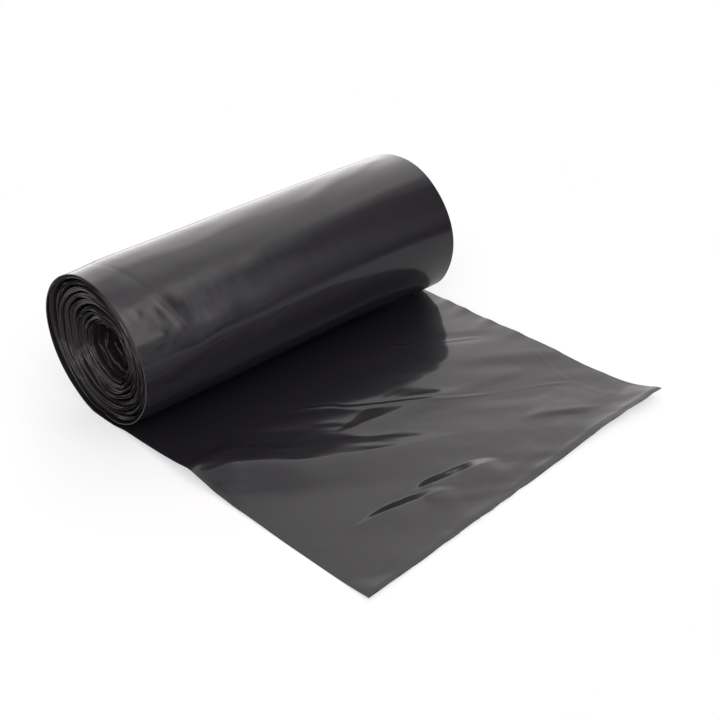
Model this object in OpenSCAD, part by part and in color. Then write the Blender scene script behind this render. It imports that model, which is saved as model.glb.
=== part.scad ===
// A coreless roll of bin bags with its free end unrolled on the table.
// All the turns and the tail are one web: flat bags joined end to end, folded lengthwise and wound.
// The roll's axis lies along Y, with the origin on the table under its middle, and the tail runs to +X.

/* [Roll] */
// Width of the folded web, which is the length of the roll
web_w = 230; // [180:1:300]
// Diameter of the roll
roll_d = 90; // [74:1:120]
// Distance across the hollow in the middle of the roll
hollow_d = 22; // [16:1:30]
// How far the roll has sunk on its flat spot
sag = 1.5; // [0.5:0.1:3]
// How far the innermost turn lies back from each end of the roll
dish = 7; // [1:0.5:14]
// How far the lip of the innermost turn stands free of the next
lip_free = 6; // [2:0.5:12]
// Width of the curl that the web's inner end makes in the hollow
curl_d = 15; // [8:0.5:15]

/* [Web] */
// Thickness of the wound web, which is all the plies of the folded bags with the air between them
web_t = 2.3; // [1:0.1:2.6]
// Gap between one turn and the next
turn_gap = 0.9; // [0.4:0.1:1.2]
// Thickness of the tail, where the plies lie pressed flat
tail_t = 0.9; // [0.6:0.1:1]

/* [Tail] */
// Reach of the tail at its near edge, from under the roll's axis to the torn end
tail_reach = 198; // [150:1:320]
// How much shorter the tail is at its far edge
tear_slant = 8; // [0:1:30]
// Angle by which the tail leaves the roll askew
tail_skew = 3.3; // [0:0.1:8]
// Height of the hump that the curl of the web leaves at the near edge
hump_h = 5.3; // [1:0.1:9]
// Height of the same hump at the far edge
hump_far_h = 0.8; // [0:0.1:4]
// Distance of the hump's crest from the roll's axis
hump_x = 73; // [60:1:90]
// Length of the slope behind the crest
hump_fall = 42; // [25:1:55]
// Height of the soft slanting ripples in the tail
ripple_h = 1.1; // [0:0.1:2.5]
// Distance from one ripple to the next
ripple_pitch = 46; // [35:1:80]
// Angle between the ripples and the length of the tail
ripple_dir = 55; // [35:1:70]
// Height to which the near corner of the torn end curls up
near_curl = 3.2; // [0:0.1:8]
// Height to which the far corner of the torn end curls up
far_curl = 6; // [0:0.1:10]
// Distance from a corner over which it curls
curl_reach = 28; // [15:1:45]

/* [Hidden] */
film_black = "#1c1b20";
// Sides of a full circle
round_sides = 40;
// A half turn is half a pitch smaller than the half before it. The first is the left one, so its
// radius is a quarter of a pitch over the roll's own, and the last one goes round the hollow
half_step = 0.5;
start_step = half_step / 2;
wound_depth = (roll_d - hollow_d) / 2 - web_t;
turns = round(wound_depth / (web_t + turn_gap));
pitch = wound_depth / (turns - start_step);
start_r = roll_d / 2 + pitch * start_step;
axis_z = start_r - sag;
// End of the block in which the turns are pressed together
block_end = web_w / 2 - dish - lip_free;
curl_r = curl_d / 2;
// Half width of the flat spot, and how far past it the tail still lies on the table
flat_x = sqrt(pow(start_r, 2) - pow(axis_z, 2));
lie_past = 4;
lift_x = flat_x + lie_past;
// Shares of the width between which the hump fades from its near height to its far height
hump_keep = 0.4;
hump_gone = 0.9;
// Rows along the tail and columns across it
tail_rows = 26;
tail_cols = 14;

// Eases from 0 to 1 as s does
function eased(s) = let (t = min(1, max(0, s))) t * t * (3 - 2 * t);

// Half of a round section left or right of X = 0, with its underside pressed flat at a height.
// A turn is a left half and a right half whose centres are half a pitch apart, so that it winds in
module half_round(r, side, floor_z) {
    intersection() {
        translate([0, axis_z + (side > 0 ? pitch * half_step : 0)])
            circle(r, $fn = round_sides);
        translate([side > 0 ? 0 : -start_r, floor_z])
            square([start_r, 2 * start_r]);
    }
}

// Outer radius of a turn's left or right half, and the height of its flat underside
function half_r(turn, side) = start_r - pitch * (turn + (side > 0 ? half_step : 0));
function half_z(turn, side) = pitch * (turn + (side > 0 ? 1 : 0));

// One half of a turn of the web
module half_turn(turn, side) {
    difference() {
        half_round(half_r(turn, side), side, half_z(turn, side));
        half_round(half_r(turn, side) - web_t, side, half_z(turn, side) + web_t);
    }
}

// How far a turn lies back from the ends of the roll: most of the dish is near the outside
function set_back(turn) = dish * sqrt(min(1, turn / turns));

// A section drawn in X and Z, carried along the roll from one place to another
module along_roll(from, to) {
    translate([0, to, 0])
        rotate([90, 0, 0])
            linear_extrude(to - from)
                children();
}

// Inside the roll the turns are pressed into one block round the hollow
module pressed_turns() {
    along_roll(-block_end, block_end)
        for (side = [-1, 1]) {
            difference() {
                half_round(half_r(0, side), side, half_z(0, side));
                half_round(half_r(turns - 1, side) - web_t, side, half_z(turns - 1, side) + web_t);
            }
        }
}

// At both ends of the roll the lip of each turn stands clear of the next
module lips(turn, side) {
    for (end = [-1, 1]) {
        lip_end = web_w / 2 - set_back(turn);
        along_roll(min(end * block_end, end * lip_end), max(end * block_end, end * lip_end))
            half_turn(turn, side);
    }
}

// The web's inner end goes up one side of the hollow and curls down again inside it
module tucked_end() {
    outer_r = half_r(turns, -1);
    lip_end = web_w / 2 - dish;
    along_roll(-lip_end, lip_end) {
        half_turn(turns, -1);
        translate([0, axis_z + outer_r - curl_r])
            intersection() {
                difference() {
                    circle(curl_r, $fn = round_sides);
                    circle(curl_r - web_t, $fn = round_sides);
                }
                translate([0, -curl_r])
                    square([curl_r, 2 * curl_r]);
            }
    }
}

// Height of the tail's underside: hump, ripples and curled corners.
// x is measured from the axis, and v is the place across the web, from 0 at the near edge to 1
function reach(v) = tail_reach - tear_slant * v;
function hump(x, v) =
    let (
        high = hump_h + (hump_far_h - hump_h) * eased((v - hump_keep) / (hump_gone - hump_keep)),
        down = min(1, max(0, (x - hump_x) / hump_fall))
    )
    x < hump_x ? high * eased((x - lift_x) / (hump_x - lift_x)) : high * pow(1 - down, 2);
function ripple(x, v) =
    let (
        across = x * sin(ripple_dir) - v * web_w * cos(ripple_dir),
        fade = eased((x - hump_x) / ripple_pitch) * eased((reach(v) - x) / ripple_pitch)
    )
    ripple_h * fade * (1 + sin(360 * across / ripple_pitch)) / 2;
function curl(x, v, corner_v, high) =
    let (
        off = norm([reach(corner_v) - x, (corner_v - v) * web_w]),
        near = max(0, 1 - off / curl_reach)
    )
    high * near * near;
function tail_z(x, v) = hump(x, v) + ripple(x, v) + curl(x, v, 0, near_curl) + curl(x, v, 1, far_curl);

// Rows get closer to the roll and to the torn end, and columns closer to both edges
function tail_u(i) = (1 - cos(180 * i / tail_rows)) / 2;
function tail_v(j) = (1 - cos(180 * j / tail_cols)) / 2;
function tail_thick(x) = web_t + (tail_t - web_t) * min(1, x / lift_x);
function tail_point(i, j, top) =
    let (v = tail_v(j), x = reach(v) * tail_u(i), thick = top ? tail_thick(x) : 0)
    [x, web_w * (v - 0.5) + x * tan(tail_skew), tail_z(x, v) + thick];

module tail() {
    per_row = tail_cols + 1;
    per_face = per_row * (tail_rows + 1);
    points = [for (top = [false, true], i = [0:tail_rows], j = [0:tail_cols]) tail_point(i, j, top)];
    under = [for (i = [0:tail_rows - 1], j = [0:tail_cols - 1], half = [0, 1])
        let (p = i * per_row + j, q = p + per_row)
        half == 0 ? [p, q, q + 1] : [p, q + 1, p + 1]];
    over = [for (f = under) [for (p = [2:-1:0]) f[p] + per_face]];
    last = tail_rows * per_row;
    rim = concat(
        [for (j = [0:tail_cols]) j],
        [for (i = [1:tail_rows]) i * per_row + tail_cols],
        [for (j = [1:tail_cols]) last + tail_cols - j],
        [for (i = [1:tail_rows - 1]) last - i * per_row]
    );
    sides = [for (k = [0:len(rim) - 1], half = [0, 1])
        let (p = rim[k], q = rim[(k + 1) % len(rim)])
        half == 0 ? [p, q, q + per_face] : [p, q + per_face, p + per_face]];
    polyhedron(points, concat(under, over, sides));
}

module bag_roll() {
    color(film_black)
        union() {
            pressed_turns();
            for (turn = [0:turns - 1], side = [-1, 1]) {
                lips(turn, side);
            }
            tucked_end();
            tail();
        }
}

bag_roll();
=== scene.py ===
import math

import bpy
import numpy as np
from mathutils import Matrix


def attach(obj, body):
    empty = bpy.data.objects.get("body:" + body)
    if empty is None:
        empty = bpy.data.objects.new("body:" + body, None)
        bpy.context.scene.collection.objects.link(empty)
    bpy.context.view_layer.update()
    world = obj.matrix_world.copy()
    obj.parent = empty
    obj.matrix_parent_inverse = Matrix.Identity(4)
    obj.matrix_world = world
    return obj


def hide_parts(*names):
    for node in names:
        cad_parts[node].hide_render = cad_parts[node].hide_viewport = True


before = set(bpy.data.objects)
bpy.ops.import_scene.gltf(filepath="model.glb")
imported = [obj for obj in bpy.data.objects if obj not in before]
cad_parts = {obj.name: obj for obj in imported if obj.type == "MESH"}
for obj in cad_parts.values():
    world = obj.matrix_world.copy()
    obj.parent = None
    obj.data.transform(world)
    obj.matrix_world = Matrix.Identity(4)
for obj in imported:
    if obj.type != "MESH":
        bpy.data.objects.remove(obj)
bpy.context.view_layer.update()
bpy.ops.object.select_all(action="DESELECT")

mm = 0.001  # the sizes below are in millimetres, and Blender works in metres


# the camera stands where the photographer stood: past the near corner of the torn edge, looking down on it
camera = {
    "place": (466.7, -359.3, 372.0),
    "turn": 46.9,  # degrees from +Y towards -X
    "down": 33.2,  # degrees below level
    "lens": 56.8,
    "sensor": 36,
    "nearest": 10,  # anything closer isn't drawn
}


def addCamera():
    bpy.ops.object.camera_add(
        location=[side * mm for side in camera["place"]],
        rotation=(math.radians(90 - camera["down"]), 0, math.radians(camera["turn"])),
    )
    view = bpy.context.object
    view.name = "photo_camera"
    view.data.sensor_width = camera["sensor"]
    view.data.lens = camera["lens"]
    view.data.clip_start = camera["nearest"] * mm
    bpy.context.scene.camera = view
    print("camera placed, with a lens of", camera["lens"], "mm")


# small helpers for shapes
def eased(t):
    t = np.clip(t, 0, 1)
    return t * t * (3 - 2 * t)


def tapered(share, first, last):  # 1 along a line, running out to 0 over these shares of it at its two ends
    return eased(share / first) * eased((1 - share) / last)


def between(x, start, rise, end, fall):  # 1 between two places, and how long it takes to rise and to fall
    return eased((x - start) / rise) * eased((end - x) / fall)


def throughPoints(points, x):  # a smooth line through a few given points
    px, pz = (np.array(side, float) for side in zip(*points))
    slope = np.gradient(pz, px)
    x = np.clip(x, px[0], px[-1])
    i = np.clip(np.searchsorted(px, x) - 1, 0, len(px) - 2)
    step = px[i + 1] - px[i]
    t = (x - px[i]) / step
    start = pz[i] * (1 + 2 * t) * (1 - t) ** 2 + pz[i + 1] * t * t * (3 - 2 * t)
    return start + step * (slope[i] * t * (1 - t) ** 2 - slope[i + 1] * t * t * (1 - t))


def softNoise(seed, u, v):  # from -1 to 1, one bump to each unit
    u, v = np.broadcast_arrays(np.asarray(u, float), np.asarray(v, float))
    size = 64  # bumps after which it repeats
    knots = np.random.default_rng(seed).uniform(-1, 1, (size, size))
    iu, iv = np.floor(u).astype(int), np.floor(v).astype(int)
    fu, fv = eased(u - iu), eased(v - iv)
    low = knots[iu % size, iv % size] * (1 - fu) + knots[(iu + 1) % size, iv % size] * fu
    high = knots[iu % size, (iv + 1) % size] * (1 - fu) + knots[(iu + 1) % size, (iv + 1) % size] * fu
    return low * (1 - fv) + high * fv


def waves(rows, u, v):  # each row: height, seed, and length along u and along v
    return sum(height * softNoise(seed, u / long, v / wide) for height, seed, long, wide in rows)


def wobble(rows, t):  # each row: height, seed, and bumps to each unit of t
    return sum(height * softNoise(seed, t * often, 0) for height, seed, often in rows)


def turned(x, y, degrees):  # places along and across a direction that is measured from +X
    c, s = math.cos(math.radians(degrees)), math.sin(math.radians(degrees))
    return x * c + y * s, x * s - y * c


roll = {
    "radius": 45.0,  # mean radius of the outermost turn
    "pitch": 3.3,  # from one turn to the next
    "sag": 1.5,  # how far the roll has sunk on its flat spot
    "flatTurns": 6,  # by this turn the flat spot has died out
    "flatCorner": 0.7,  # over which the flat spot runs into the round
    "nearTilt": 0.060,  # the near end lies askew: this much to +Y for each mm of X
    "nearStep": 0.4,  # and the tail's near edge stands out by this past the roll
    "farOut": 0.3,  # the far end stands out by this past the web's half width
    "farTilt": (-0.004, -0.069),  # and lies askew for each mm of X, and of height over the axis
    "crumpled": 9.2,  # from this turn on the film is crumpled, and its turns lie closer together
    "crumpledPitch": 0.62,  # share of the pitch that they have there
}
startRadius = roll["radius"] + roll["pitch"] / 2
axisHeight = startRadius - roll["sag"]
halfWidth = 115.0  # half the width of the web
fullTurn = 2 * math.pi
# where the far edge of the tail lies: x and y
farLine = [
    (0, 117.9), (14, 117.0), (28, 116.8), (60, 117.3), (85, 118.3),
    (121, 120.8), (156, 123.0), (174, 124.4), (184, 126.0), (200, 129.0),
]


def nearEdge(x):
    return -halfWidth + roll["nearTilt"] * x - roll["nearStep"] * eased((x + 10) / 40)


def farEnd(x, z):
    return halfWidth + roll["farOut"] + roll["farTilt"][0] * x + roll["farTilt"][1] * (z - axisHeight)


def woundPitch(turn):  # how far the web has wound inwards by this turn
    slack = np.maximum(turn - roll["crumpled"], 0)
    return roll["pitch"] * (turn - slack + roll["crumpledPitch"] * slack)


def sectionPoint(a, inward):  # a runs from the bottom, up the left side, over the top and down the right
    turn = a / fullTurn
    radius = startRadius - woundPitch(turn) - inward
    x = -radius * np.sin(a)
    z = axisHeight - radius * np.cos(a)
    floor = woundPitch(turn) - roll["sag"] * np.clip(turn / roll["flatTurns"], 0, 1) + inward
    soft = roll["flatCorner"]
    z = floor + soft * np.logaddexp(0, (z - floor) / soft) - soft * math.log(2) * np.exp(-np.abs(z - floor))
    return x, np.maximum(z, floor)


tail = {
    "reach": 198.9,
    "tearSlant": 7.0,
    "cornerPull": 4.0,  # how far the far corner of the torn end is drawn out
    "film": 0.45,  # the plies lie pressed together
    "leastFilm": 0.18,
    "tornFilm": 0.5,  # share of the thickness that is left at the torn edge
    "tornDroop": 0.2,  # the torn edge hangs down by this
    "tornEdge": [(0.35, 15, 60), (0.2, 16, 150)],  # and is ragged: height, seed, and bumps to the width
    "endLift": 0.35,  # the torn end lifts off the table a little
    # heights over the table, listed along the near edge, the middle and the far edge
    "nearHump": [
        (0, 0), (8, 0.4), (16, 1.8), (35, 2.6), (53, 3.5), (65, 4.7), (73, 5.8), (79, 4.6),
        (90, 2.5), (105, 1.2), (125, 0.7), (145, 0), (170, 0), (185, 0.3), (193, 0.8), (200, 1.5),
    ],
    "midHump": [
        (0, 0), (8, 0.3), (16, 1.2), (32, 2.5), (50, 3.2), (64, 3.45), (78, 3.6), (92, 3.4),
        (106, 2.5), (122, 1.3), (140, 0.4), (160, 0.1), (185, 0.1), (200, 0.7),
    ],
    "farHump": [
        (0, 0), (10, 0.3), (30, 1.2), (60, 1.8), (80, 2.1), (96, 2.3), (112, 1.8), (135, 0.7),
        (165, 0.5), (180, 1.5), (190, 3.6), (195, 4.9), (200, 5.6),
    ],
    # the far edge flutters a little, and so does the near one past its kink: the waves, where they start, rise, end
    # and fall along the tail, and how fast they die out across it
    "farFlutter": [(0.45, 17, 7, 1)],
    "farFluttering": (22, 12, 175, 30),
    "farDying": 26,
    "nearFlutter": [(0.5, 18, 4, 1)],
    "nearFluttering": (75, 6, 125, 30),
    "nearDying": 45,
    # ripples that slant over the film, finer ones that feather the edge of the roll's reflection, and the
    # crumpling towards the torn end
    "slant": 56,  # degrees from +X
    "ripples": [(0.42, 11, 70, 18), (0.20, 12, 40, 8)],
    "feather": [(0.13, 19, 24, 3.4)],
    "crumple": [(0.26, 13, 12, 15), (0.09, 14, 5.5, 7), (0.03, 20, 2.8, 3.6)],
    # the weld along the torn edge: height, distance from the edge, and width
    "weld": (0.09, 4.0, 1.1),
    # where the roll's reflection ends: place along the tail at one place across it, slope, and width of its edge
    "reflection": (98, -45, 0.24, 22),
}
# folds in the tail, drawn from the near side to the far side: the line, height, width of the side that faces the roll,
# width of the other side, 1 for a plane slope or 2 for one that steepens towards the crest, and the shares of the line
# over which its two ends run out to a point
tailFolds = [
    (
        [(76, -110), (86, -90), (96, -76), (106, -64), (114, -50), (121, -37), (129, -18), (137, 4), (144, 22)],
        3.3, 27, 26, 1.3, (0.12, 0.42),
    ),
    ([(99, -36), (105, -6), (109, 18), (117, 60)], 1.2, 10, 14, 1.3, (0.35, 0.4)),
    # two narrow folds whose steep sides are dark
    ([(160, -38), (162.5, -25), (166, -8), (170, 9), (172.5, 20)], 1.6, 5.6, 24, 1, (0.3, 0.33)),
    (
        [(157, -84), (160, -68), (162, -56), (164.5, -47), (167, -36), (171, -24), (174, -15)],
        1.35, 4.9, 22, 1, (0.45, 0.3),
    ),
    # the bright ridge towards the far corner
    ([(155, 52), (163, 68), (172, 82), (180, 98)], 1.0, 11, 5, 1.4, (0.4, 0.4)),
    ([(113, 46), (121, 74), (128, 99)], 0.5, 12, 9, 1.5, (0.4, 0.4)),
    ([(179, 9), (182, 30), (190, 50)], 0.35, 6, 6, 1.2, (0.4, 0.4)),
    ([(168, -38), (181, -16), (188, -1), (194, 14)], 0.3, 5, 6, 1.2, (0.4, 0.4)),
]
# the narrow folds have ragged edges: those under the first width a little, and from the second down wholly
raggedFolds = {"widths": (12, 6), "waves": [(0.25, 27, 5, 9), (0.1, 28, 2.2, 4)]}
# thin creases, each a ridge beside a groove: the line, height and width
tailCreases = [
    ([(50, 40), (60, 54), (70, 68), (76, 80), (88, 101)], 0.28, 1.1),
    ([(60, -49), (77, -22), (87, -12), (99, 7), (115, 33), (131, 62), (145, 90), (158, 108)], 0.30, 1.1),
    ([(106, 117), (118, 111), (129, 107), (146, 102.5), (165, 104), (184, 111)], 0.06, 1.6),
]


def alongLine(x, y, line):  # how far a place lies to the left of a drawn line, and its share of the way along it
    corner = np.array(line, float)
    count = 4 * (len(line) - 1)
    steps, fine = np.arange(len(line)), np.linspace(0, len(line) - 1, count + 1)
    px = throughPoints(list(zip(steps, corner[:, 0])), fine)
    py = throughPoints(list(zip(steps, corner[:, 1])), fine)
    nearest = np.full(np.shape(x), np.inf)
    side, share = np.zeros(np.shape(x)), np.zeros(np.shape(x))
    for k in range(count):
        dx, dy = px[k + 1] - px[k], py[k + 1] - py[k]
        t = np.clip(((x - px[k]) * dx + (y - py[k]) * dy) / (dx * dx + dy * dy), 0, 1)
        offX, offY = x - px[k] - t * dx, y - py[k] - t * dy
        away = np.hypot(offX, offY)
        closer = away < nearest
        nearest = np.where(closer, away, nearest)
        side = np.where(closer, away * np.sign(dx * offY - dy * offX), side)
        share = np.where(closer, (k + t) / count, share)
    return side, share


def fold(x, y, line, height, facing, beyond, power, tips):
    side, share = alongLine(x, y, line)
    widest, narrow = raggedFolds["widths"]
    side = side + waves(raggedFolds["waves"], x, y) * eased((widest - facing) / (widest - narrow))
    tip = tapered(share, *tips)
    width = facing * tip ** 0.85 + 0.8  # it gets narrower towards its tips, but never a knife's edge
    return height * tip * np.where(side > 0, np.clip(1 - side / width, 0, 1) ** power, eased(1 + side / beyond))


def crease(x, y, line, height, width):
    side, share = alongLine(x, y, line)
    ridge = np.exp(-((side / width) ** 2))
    groove = 0.5 * np.exp(-(((side - 1.7 * width) / width) ** 2))  # half as deep, and just beside the ridge
    return height * (ridge - groove) * tapered(share, 0.15, 0.15)


def tailEnd(w):  # how far the tail reaches, from its near edge at 0 to its far edge at 1
    atCorner = eased((w - 0.76) / 0.24)
    return tail["reach"] - tail["tearSlant"] * w + tail["cornerPull"] * atCorner


def tailShare(x, y):
    far = throughPoints(farLine, x)
    return (y - nearEdge(x)) / (far - nearEdge(x))


def tailHeight(x, y):
    share = tailShare(x, y)
    toMiddle = eased(share / 0.2)
    toFar = eased((share - 0.62) / 0.36)
    z = throughPoints(tail["nearHump"], x) * (1 - toMiddle)
    z = z + throughPoints(tail["midHump"], x) * toMiddle * (1 - toFar)
    z = z + throughPoints(tail["farHump"], x) * toMiddle * toFar
    farPart = np.exp(-(1 - share) * tail["farDying"]) * between(x, *tail["farFluttering"])
    nearPart = np.exp(-share * tail["nearDying"]) * between(x, *tail["nearFluttering"])
    z = z + waves(tail["farFlutter"], x, 0) * farPart + waves(tail["nearFlutter"], x, 0) * nearPart
    z = z + tail["endLift"] * eased(1 - (tailEnd(share) - x) / 9) * eased((share - 0.05) / 0.3)
    return np.maximum(z, 0)


def tailDetail(x, y):
    free = eased((x - 44) / 30)  # the film is drawn smooth where it leaves the roll
    share = tailShare(x, y)
    along, across = turned(x, y, tail["slant"])
    growing = 0.55 + 0.65 * eased((share - 0.3) / 0.3)  # the ripples are stronger on the far half
    calmer = eased(0.4 + np.abs(x - 92 - 0.05 * y) / 26)  # and weaker on the back of the hump
    ripples = waves(tail["ripples"], along, across) * growing * calmer
    atX, atY, slope, width = tail["reflection"]
    nearHalf = eased((20 - y) / 40)
    feather = waves(tail["feather"], along, across) * nearHalf
    feather = feather * np.exp(-(((x - atX - slope * (y - atY)) / width) ** 2))
    toEnd = eased((x - 118) / 55)
    toCorner = eased((share - 0.3) / 0.5)
    z = free * (ripples + feather) + toEnd * (0.4 + 0.8 * toCorner) * waves(tail["crumple"], x, y)
    for one in tailFolds:
        z = z + fold(x, y, *one)
    for one in tailCreases:
        z = z + crease(x, y, *one)
    height, fromEdge, width = tail["weld"]
    fromEnd = tailEnd(share) - x
    return z + height * np.exp(-(((fromEnd - fromEdge) / width) ** 2)) * eased((share - 0.35) / 0.2)


def gridFaces(grid, flipped=False):
    a, b, c, d = grid[:-1, :-1], grid[1:, :-1], grid[1:, 1:], grid[:-1, 1:]
    faces = np.stack([a, b, c, d], -1).reshape(-1, 4)
    return (faces[:, ::-1] if flipped else faces).tolist()


def stripFaces(fine, coarse, flipped=False):  # joins a row of many points to a row of few
    ratio = (len(fine) - 1) // (len(coarse) - 1)
    faces = []
    for k in range(len(coarse) - 1):
        end = (k + 1) * ratio + 1 if k < len(coarse) - 2 else len(fine)  # the last face takes what is left over
        face = [int(coarse[k]), int(coarse[k + 1])] + [int(p) for p in fine[k * ratio:end][::-1]]
        faces.append(face[::-1] if flipped else face)
    return faces


def meshPiece(name, points, faces, pathAndWidth):
    mesh = bpy.data.meshes.new(name)
    mesh.from_pydata(points * mm, [], faces)
    layer = mesh.uv_layers.new(name="web")
    corner = np.zeros(len(mesh.loops), int)
    mesh.loops.foreach_get("vertex_index", corner)
    layer.data.foreach_set("uv", (pathAndWidth[corner] * mm).ravel())
    piece = bpy.data.objects.new(name, mesh)
    bpy.context.scene.collection.objects.link(piece)
    bpy.ops.object.select_all(action="DESELECT")
    piece.select_set(True)
    bpy.context.view_layer.objects.active = piece
    bpy.ops.object.mode_set(mode="EDIT")
    bpy.ops.mesh.select_all(action="SELECT")
    bpy.ops.mesh.normals_make_consistent(inside=False)
    bpy.ops.object.mode_set(mode="OBJECT")
    return piece


def countTriangles(piece):
    return sum(len(face.vertices) - 2 for face in piece.data.polygons)


outerTurn = {
    "film": 0.7,
    "smoothTo": 55,  # degrees
    # the edge of the fold below prints through as a shallow groove: path along the web and place across it,
    # round from the back to the front
    "foldLine": [
        (70, -112), (100, -107), (126, -103), (143, -98.6), (159, -95.2),
        (165.5, -93.2), (176, -89.7), (182.2, -87.1), (188.5, -84.4), (200, -79.5),
    ],
    "foldGroove": 0.07,
    "grooveWidth": 1.3,
    # where the ends of the roll are out of round: degrees round from the bottom, width, place, reach and height
    "endBulges": [
        (322, 22, 118, 90, 2.6), (280, 40, 118, 60, 0.7), (168, 22, 118, 40, -0.8), (148, 28, -116, 34, -1.0),
    ],
    "drawnIn": 0.6,  # the near end is this much smaller
    "insideShare": 0.9,  # how much of all these bulges the film's hidden inside shows
    "waves": [(0.28, 21, 55, 75), (0.12, 24, 17, 48)],
    "nearWaves": [(0.16, 22, 13, 20), (0.03, 23, 5, 9)],
    "lipWaves": [(0.05, 26, 8, 6.5)],
    # fine lines along the web, this deep everywhere and this much more at the near end
    "fineLines": [(1, 25, 15, 3.2)],
    "fineDepth": (0.012, 0.007),
}
# wrinkles and folds on the roll: line as path and place, height, width of the far side and of the near side
turnFolds = [
    ([(163, -94.3), (168.8, -92.5), (176, -90.2), (182.2, -87.7), (188.5, -85.0), (194, -82.5)], 0.31, 11, 3.0),
    ([(155, 10), (150, 32), (145, 46), (139, 62), (131, 82)], 0.5, 8.5, 8.5),
    ([(152, -60), (146, -30), (138, 0), (132, 25)], 0.15, 8, 8),
    ([(166, -104), (176, -103), (186, -101)], 0.36, 14, 6),
    ([(172, -97), (178, -95), (186, -93)], 0.17, 18, 5),
    ([(186, -98), (192, -95), (198, -92)], 0.16, 14, 5),
    ([(158, -160), (158, 160)], 0.6, 20, 20),  # the roll is a little flat behind this line
    ([(146, 60), (138, 84), (132, 106)], 0.30, 6, 6),
]
# pads where the film stands off the turn below: path, place, height, size along and across
turnPads = [
    (175.5, -109, 0.3, 7, 5), (190.5, -104, 0.42, 6, 9), (160, -106, 0.26, 12, 8), (203, -60, 0.2, 9, 18),
]


def turnBulge(a, y):  # how far the outermost turn stands off its round
    path = a * roll["radius"]
    side, share = alongLine(path, y, outerTurn["foldLine"])
    groove = np.exp(-((side / outerTurn["grooveWidth"]) ** 2)) * tapered(share, 0.3, 0.12)
    bulge = -outerTurn["foldGroove"] * groove
    for line, height, farSide, nearSide in turnFolds:
        side, share = alongLine(path, y, line)
        bulge = bulge + height * eased(1 - side / np.where(side > 0, farSide, -nearSide)) * tapered(share, 0.3, 0.3)
    for atPath, atY, height, long, wide in turnPads:
        off = ((path - atPath) / long) ** 2 + ((y - atY) / wide) ** 2
        bulge = bulge + height * np.exp(-off * off)
    for around, width, atY, reach, height in outerTurn["endBulges"]:
        off = (np.degrees(a) - around) / width
        bulge = bulge + height * np.exp(-(off ** 2)) * eased(1 - np.abs(y - atY) / reach)
    nearPart = 1 - eased((y + 70) / 90)
    lipPart = 1 - eased((y + 100) / 22)
    depth, nearDepth = outerTurn["fineDepth"]
    bulge = bulge + waves(outerTurn["waves"], path, y)
    bulge = bulge + nearPart * waves(outerTurn["nearWaves"], path, y)
    bulge = bulge + (depth + nearDepth * nearPart) * waves(outerTurn["fineLines"], path, y)
    bulge = bulge + lipPart * waves(outerTurn["lipWaves"], path, y)
    bulge = bulge - outerTurn["drawnIn"] * eased((-92 - y) / 24)
    return bulge * eased(a / 0.6)


# the tail and the outermost turn are one film: fine rows where it shows, and coarse ones on its hidden faces
def outerWeb():
    rowStep, columnStep, innerStep = 4, 8, 3  # fine rows or columns to each coarse one
    # along the tail from its torn edge, where the rows lie closer together
    shares = np.concatenate([np.linspace(1, 0.965, 17)[:-1], np.linspace(0.965, 0, 205)])
    v = np.linspace(0, 1, 257)  # across the tail
    # across the turn, closer together at its near end
    turnV = np.concatenate([np.linspace(0, 0.22, 65)[:-1], np.linspace(0.22, 1, 129)])
    # round the turn, closer together where the camera sees it
    angles = np.radians(np.concatenate([
        np.linspace(0, 150, 41)[1:-1], np.linspace(150, 285, 112)[:-1], np.linspace(285, 360, 31)
    ]))

    def tailGrid(rows, across, top):
        s, w = np.meshgrid(rows, across, indexing="ij")
        x = s * (tailEnd(w) + wobble(tail["tornEdge"], w) * eased((s - 0.97) / 0.03))
        y = nearEdge(x) * (1 - w) + throughPoints(farLine, x) * w
        table = tailHeight(x, y)
        if top:
            thin = 1 - (1 - tail["tornFilm"]) * eased((s - 0.985) / 0.015)
            fromEdges = 0.5 + 0.5 * eased(np.minimum(w, 1 - w) * 40)
            z = table + tail["film"] * thin + tailDetail(x, y) * fromEdges * eased(s / 0.1)
            z = np.maximum(z, table + tail["leastFilm"])
        else:
            z = np.maximum(table - np.where(s < 1, 0, tail["tornDroop"]), 0)
        return np.stack([x, y, z], -1), np.stack([-x, y], -1)

    def turnGrid(rows, across, outside):
        a, w = np.meshgrid(rows, across, indexing="ij")
        x, z = sectionPoint(a, 0 if outside else outerTurn["film"])
        y = nearEdge(x) * (1 - w) + farEnd(x, z) * w
        bulge = turnBulge(a, y) * (1 if outside else outerTurn["insideShare"])
        x = x - bulge * np.sin(a)
        z = z - bulge * np.cos(a) * eased((a - 0.2) / 0.5)
        return np.stack([x, y, z], -1), np.stack([a * roll["radius"], y], -1)

    grids = [
        tailGrid(shares, v, True),
        turnGrid(angles[innerStep - 1::innerStep], v[::columnStep], False),
        tailGrid(shares[::rowStep], v[::columnStep], False),
        turnGrid(angles, turnV, True),
    ]
    index, start = [], 0
    for points, _ in grids:
        count = points.shape[0] * points.shape[1]
        index.append(np.arange(start, start + count).reshape(points.shape[:2]))
        start += count
    top, inner, under, outer = index
    faces = gridFaces(top) + gridFaces(inner) + gridFaces(under, True) + gridFaces(outer, True)
    faces += stripFaces(top[-1], inner[0])
    faces += stripFaces(outer[0], under[-1])
    faces += stripFaces(top[0], under[0], True)
    faces += stripFaces(outer[-1], inner[-1], True)
    for column in (0, -1):
        faces += stripFaces(top[:, column], under[:, column])
        faces += stripFaces(
            np.append(under[-1, column], outer[:, column]), np.append(top[-1, column], inner[:, column])
        )
    points = np.concatenate([p.reshape(-1, 3) for p, _ in grids])
    pathAndWidth = np.concatenate([p.reshape(-1, 2) for _, p in grids])
    piece = meshPiece("outer_web", points, faces, pathAndWidth)
    bpy.ops.object.shade_smooth_by_angle(angle=math.radians(outerTurn["smoothTo"]))
    print("outer_web has", countTriangles(piece), "triangles")
    return piece


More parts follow.
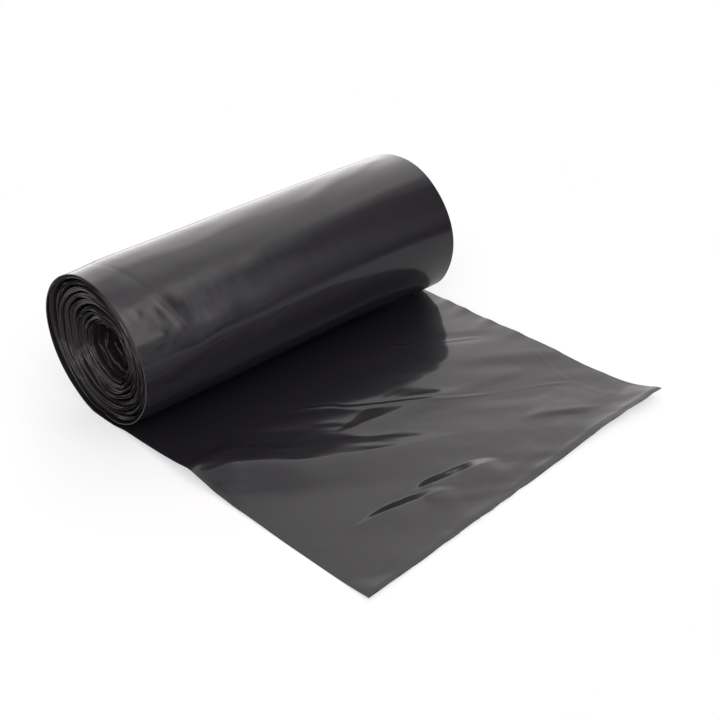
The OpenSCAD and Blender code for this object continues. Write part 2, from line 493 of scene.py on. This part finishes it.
wound = {
    "film": 0.26,
    "smoothTo": 60,  # degrees
    "rowStep": 2.2,  # along the web between two rows of the mesh at most, and closer where the turns are small
    "fromNear": [0, 1.5, 4, 9, 18, 45, 115, 185, 216, 228],  # its columns, by their distance from the fold
    "foldColumns": 19,
    "hollow": 5.0,  # radius at which the web ends
    "spacing": 2.3,  # between the two leaves of the folded web
    "tightSpacing": 0.4,  # share of it that is left among the crumpled turns
    "foldDepth": 2.3,  # of the folded edges that each turn shows at the near end
    # where the folded edges lie across a turn, and their seeds
    "edges": [(0.14, 51), (0.46, 52), (0.82, 53)],
    "edgeWidth": 0.17,
    # the ends are dished: how far back the first turn lies and the last even one, and how much more each crumpled one
    "firstRecess": 0.4,
    "dish": 7.5,
    "crumpledRecess": 3.2,
    "farShare": 0.8,  # the far end is dished less
    # how these change on the way round: height, seed, and bumps to each radian
    "spacingWobble": [(0.25, 31, 2.2)],
    "nearWobble": [(0.9, 32, 1.3), (0.25, 33, 5)],
    "farWobble": [(0.6, 35, 1.3)],
    "flareWobble": [(0.22, 36, 3.1)],
    # how the turns have shifted: by how much, and the length of the bumps
    "loose": (1.3, 15),
    "crumple": (0.95, 4.2),
    "fine": (0.3, 1.9),
    "hang": 2.8,  # how far the loose turns hang down
    "slip": 30,  # the crumple changes by one bump over this much of the roll's length
}


# the turns bunch up and crumple towards the hollow, all by one smooth shift so that they never cross
def crumpleTurns(points):
    x, y, z = points[..., 0], points[..., 1], points[..., 2] - axisHeight
    radius = np.hypot(x, z)
    around = np.arctan2(z, x)
    loose = eased((42 - radius) / 16)
    crumple = eased((18 - radius) / 8)
    bunch = softNoise(45, radius / 5.2, 2 + 1.3 * np.sin(around) + 1.1 * np.cos(around))
    bunch = 0.85 * bunch * eased((43.5 - radius) / 5)
    # at the lower left the first turns lie a little further in
    drawnIn = 0.3 * np.exp(-(((around + 2.25) / 0.5) ** 2)) * eased((46 - radius) / 2) * eased((radius - 30) / 12)

    def bumps(kind, seed, slipX=0, slipZ=0):
        height, length = wound[kind]
        return height * softNoise(seed, x / length + slipX, z / length + slipZ)

    slip = y / wound["slip"]
    shiftX = loose * bumps("loose", 41) + crumple * (bumps("crumple", 42, slipX=slip) + bumps("fine", 46))
    shiftZ = loose * (bumps("loose", 43) - wound["hang"])
    shiftZ = shiftZ + crumple * (bumps("crumple", 44, slipZ=slip) + bumps("fine", 47))
    shiftX = shiftX + (bunch - drawnIn) * np.cos(around)
    shiftZ = shiftZ + (bunch - drawnIn) * np.sin(around)
    points[..., 0] += shiftX
    points[..., 2] += shiftZ


def woundTurns():
    rows = [fullTurn]
    while True:
        radius = startRadius - woundPitch(rows[-1] / fullTurn)
        if radius < wound["hollow"]:
            break
        rows.append(rows[-1] + min(wound["rowStep"], 0.05 * radius + 0.3) / radius)
    a = np.array(rows)
    turn = a / fullTurn
    depth = np.clip((turn - 1) / (roll["crumpled"] - 1), 0, 1)
    tight = eased((turn - roll["crumpled"]) / 1.2)
    opened = eased((turn - 1) / 0.25)
    spacing = (wound["spacing"] + wobble(wound["spacingWobble"], a)) * (1 - (1 - wound["tightSpacing"]) * tight)
    spacing = spacing * opened + wound["film"] * (1 - opened)
    recess = wound["firstRecess"] * opened + (wound["dish"] - wound["firstRecess"]) * depth
    recess = recess + wound["crumpledRecess"] * np.maximum(turn - roll["crumpled"], 0)
    lowerLeft = np.exp(-((((a % fullTurn) - 1.1) / 0.7) ** 2)) * 0.5 * (1 - depth)  # here the lips lie further back
    inward = 0.35 - 1.6 * eased((turn - 1) / 0.14)  # the outermost turn is thinner than a fold, so the rest moves out
    nearLip = recess + lowerLeft + wobble(wound["nearWobble"], a) * opened
    farLip = wound["farShare"] * recess + wobble(wound["farWobble"], a)
    # across the web: up one leaf from the far end, round the fold at the near end and back down the other leaf
    fromNear = np.array(wound["fromNear"])
    leaf = fromNear / fromNear[-1]
    columns = [("first", share) for share in leaf[::-1]]
    columns += [("fold", t) for t in np.linspace(0, 1, wound["foldColumns"])[1:-1]]
    columns += [("second", share) for share in leaf]
    points, paths = [], []
    for kind, place in columns:
        part = {"first": 0.0, "fold": place, "second": 1.0}[kind]
        fromLip = 0 if kind == "fold" else place * fromNear[-1]
        flare = wobble(wound["flareWobble"], a) * math.exp(-fromLip / 6) * opened
        x, z = sectionPoint(a, inward + spacing * part + flare)
        near = nearEdge(x) + nearLip + wound["foldDepth"]
        far = farEnd(x, z) - farLip
        if kind == "fold":
            # three folded edges side by side, each standing out more or less on its way round
            ridge = 0 * a
            for at, seed in wound["edges"]:
                at = at + 0.05 * softNoise(seed, a * 1.1, 5)
                high = np.clip(0.62 + 0.6 * softNoise(seed, a * 1.4, 0), 0.05, 1)
                ridge = np.maximum(ridge, high * np.clip(1 - np.abs(part - at) / wound["edgeWidth"], 0, 1))
            y = near - wound["foldDepth"] * (0.35 * math.sin(math.pi * part) ** 0.6 + 0.65 * ridge)
        else:
            y = near + (far - near) * place
        points.append(np.stack([x, y, z], -1))
        across = halfWidth * {"first": 1 - place, "fold": 1, "second": 1 + place}[kind]
        paths.append(np.stack([a * roll["radius"] / 2, across + 0 * a], -1))
    points = np.stack(points, 1)
    paths = np.stack(paths, 1)
    crumpleTurns(points)
    index = np.arange(points.shape[0] * points.shape[1]).reshape(points.shape[:2])
    piece = meshPiece("wound_turns", points.reshape(-1, 3), gridFaces(index), paths.reshape(-1, 2))
    film = piece.modifiers.new("film", "SOLIDIFY")
    film.thickness = wound["film"] * mm
    film.offset = 0
    bpy.ops.object.modifier_apply(modifier=film.name)
    bpy.ops.object.shade_smooth_by_angle(angle=math.radians(wound["smoothTo"]))
    print("wound_turns has", countTriangles(piece), "triangles")
    return piece


# materials
def linear(code):  # an sRGB hex colour as linear light
    parts = [int(code[i:i + 2], 16) / 255 for i in (1, 3, 5)]
    return [c / 12.92 if c <= 0.04045 else ((c + 0.055) / 1.055) ** 2.4 for c in parts] + [1]


def addNode(tree, kind, settings=None, inputs=None):  # each input gets a value, or a socket to be linked from
    node = tree.nodes.new(kind)
    for key, value in (settings or {}).items():
        setattr(node, key, value)
    for key, value in (inputs or {}).items():
        if isinstance(value, bpy.types.NodeSocket):
            tree.links.new(value, node.inputs[key])
        else:
            node.inputs[key].default_value = value
    return node


filmFinish = {
    "colour": "#1f1d22",
    "scuffedColour": "#1f1b1b",
    "shine": (0.07, 0.15),  # roughness of the glossy skin, from clear to hazy
    "shineIor": 1.46,
    "bodyIor": 1.27,
    "bodyRoughness": 0.45,
    "scuffedRoughness": 0.6,
    "haze": 9.0,  # across a patch of haze
    # the lines that the die leaves along the film lie well under a millimetre apart, and are drawn this much apart,
    # which is coarser, so that they show
    "dieLine": 1.6,
    "dieLinePatches": 12,  # to each metre along a line, between which it fades
    "dieLineHeight": 0.1,
    "dieLineStrength": 0.12,
}


# blown low-density polyethylene: near black with carbon, a glossy skin with faint die lines and uneven haze over a
# dull body, so that it mirrors the studio softly
def blownFilm(name, colour, bodyRoughness):
    material = bpy.data.materials.new(name)
    material.use_nodes = True
    tree = material.node_tree
    shader = tree.nodes["Principled BSDF"]
    shader.inputs["Base Color"].default_value = linear(colour)
    shader.inputs["IOR"].default_value = filmFinish["bodyIor"]
    shader.inputs["Roughness"].default_value = bodyRoughness
    shader.inputs["Coat Weight"].default_value = 1.0
    shader.inputs["Coat IOR"].default_value = filmFinish["shineIor"]
    uv = addNode(tree, "ShaderNodeUVMap", {"uv_map": "web"})
    place = addNode(tree, "ShaderNodeMapping", inputs={
        "Scale": (filmFinish["dieLinePatches"], 1000 / filmFinish["dieLine"], 1), "Vector": uv.outputs[0],
    })
    lines = addNode(tree, "ShaderNodeTexNoise", inputs={"Scale": 1, "Detail": 2, "Vector": place.outputs[0]})
    spot = addNode(tree, "ShaderNodeTexCoord")
    haze = addNode(tree, "ShaderNodeTexNoise", inputs={
        "Scale": 1000 / filmFinish["haze"], "Detail": 3, "Vector": spot.outputs["Object"],
    })
    clear, hazy = filmFinish["shine"]
    rough = addNode(tree, "ShaderNodeMapRange", inputs={
        "Value": haze.outputs["Fac"], "From Min": 0.3, "From Max": 0.7, "To Min": clear, "To Max": hazy,
    })
    tree.links.new(rough.outputs[0], shader.inputs["Coat Roughness"])
    bump = addNode(tree, "ShaderNodeBump", inputs={
        "Strength": filmFinish["dieLineStrength"], "Distance": filmFinish["dieLineHeight"] * mm,
        "Height": lines.outputs["Fac"],
    })
    tree.links.new(bump.outputs[0], shader.inputs["Normal"])
    tree.links.new(bump.outputs[0], shader.inputs["Coat Normal"])
    print("material made:", name)
    return material


studio = {
    "floor": "#bfbfbf",
    "floorSize": 600,
    "floorRoughness": 0.9,
    "glow": 0.54,  # what the floor adds where the camera sees it, so that it comes out white
    "level": 1.33,
    "darkest": 0.02,  # where dark cards overlap
    "tint": (1.0, 0.972, 0.968),
    # soft lights and dark cards: degrees from +X and above level, radius, width of the soft edge, and what it adds
    "lights": [
        (112, 43.3, 13.5, 13, 0.43),  # a bright wall behind the roll, which the tail and the roll's top show
        (157, 12, 22.5, 10.5, 0.51),
        (67.8, 16, 30.5, 10.3, -1.27),  # the dark side of the studio, to the right behind the object
        (20, -1, 11, 9.6, -0.8),
        (267, 36, 44, 38, -0.63),  # the camera's side
        (20, 32.7, 12.3, 11.5, 0.56),
        (43, 56, 5.6, 9.4, 0.68),
        (15, 56, 8, 10, 0.8),  # three lamps that pick out wrinkles and lips at the near end
        (296, 26, 9, 12, 2.2),
        (355, 38, 3, 4, 3.0),
        (142, 57, 21, 30, -0.41),  # and the rest even out the tones
        (33, 15, 4.4, 12.9, 0.19),
        (80, 46.8, 4.6, 9, 0.41),
        (36, -12, 7, 9, -0.5),
        (140, 26, 6, 9, 0.15),
    ],
}


# rolled matt paint with no gloss, so that the floor shows only the object's shadow
def whiteFloor():
    bpy.ops.mesh.primitive_plane_add(size=studio["floorSize"] * mm)
    floor = bpy.context.object
    floor.name = "floor"
    material = bpy.data.materials.new("rolled_matt_white_paint")
    material.use_nodes = True
    tree = material.node_tree
    shader = tree.nodes["Principled BSDF"]
    shader.inputs["Base Color"].default_value = linear(studio["floor"])
    shader.inputs["Roughness"].default_value = studio["floorRoughness"]
    shader.inputs["Specular IOR Level"].default_value = 0.0
    shader.inputs["Emission Color"].default_value = (1, 1, 1, 1)
    path = addNode(tree, "ShaderNodeLightPath")
    glow = addNode(tree, "ShaderNodeMath", {"operation": "MULTIPLY"}, {
        0: path.outputs["Is Camera Ray"], 1: studio["glow"],
    })
    tree.links.new(glow.outputs[0], shader.inputs["Emission Strength"])
    floor.data.materials.append(material)
    print("floor laid,", studio["floorSize"], "mm wide")


# white where the camera looks past the floor, and for the film's reflections a studio of soft lights and dark cards
def studioLight():
    world = bpy.data.worlds.new("studio")
    bpy.context.scene.world = world
    world.use_nodes = True
    tree = world.node_tree
    back = tree.nodes["Background"]
    spot = addNode(tree, "ShaderNodeTexCoord")
    level = studio["level"]
    for turn, height, radius, edge, adds in studio["lights"]:
        turn, height = math.radians(turn), math.radians(height)
        middle = (math.cos(turn) * math.cos(height), math.sin(turn) * math.cos(height), math.sin(height))
        towards = addNode(tree, "ShaderNodeVectorMath", {"operation": "DOT_PRODUCT"}, {
            0: spot.outputs["Generated"], 1: middle,
        })
        away = addNode(tree, "ShaderNodeMath", {"operation": "ARCCOSINE"}, {0: towards.outputs["Value"]})
        card = addNode(tree, "ShaderNodeMapRange", {"interpolation_type": "SMOOTHSTEP"}, {
            "Value": away.outputs[0], "From Min": math.radians(radius), "From Max": math.radians(radius + edge),
            "To Min": adds, "To Max": 0.0,
        })
        total = addNode(tree, "ShaderNodeMath", {"operation": "ADD"}, {0: card.outputs[0], 1: level})
        level = total.outputs[0]
    path = addNode(tree, "ShaderNodeLightPath")
    lit = addNode(tree, "ShaderNodeMath", {"operation": "MAXIMUM"}, {0: level, 1: studio["darkest"]})
    seen = addNode(tree, "ShaderNodeMapRange", inputs={
        "Value": path.outputs["Is Camera Ray"], "To Min": lit.outputs[0], "To Max": 1.0,
    })
    tree.links.new(seen.outputs[0], back.inputs["Strength"])
    tint = addNode(tree, "ShaderNodeMix", {"data_type": "RGBA"}, {
        "Factor": path.outputs["Is Camera Ray"], 6: (*studio["tint"], 1), 7: (1, 1, 1, 1),
    })
    tree.links.new(tint.outputs[2], back.inputs["Color"])
    print("studio lit with", len(studio["lights"]), "soft lights and dark cards")


addCamera()
web = outerWeb()
turns = woundTurns()
web.data.materials.append(blownFilm("blown_ldpe_film", filmFinish["colour"], filmFinish["bodyRoughness"]))
# the folded edges are scuffed from winding, so they look greyer and duller
turns.data.materials.append(
    blownFilm("scuffed_ldpe_folds", filmFinish["scuffedColour"], filmFinish["scuffedRoughness"])
)
for piece in (web, turns):
    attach(piece, "root")
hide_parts("bag_roll")
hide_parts("bag_roll")
whiteFloor()
studioLight()
bpy.context.scene.view_settings.view_transform = "Standard"
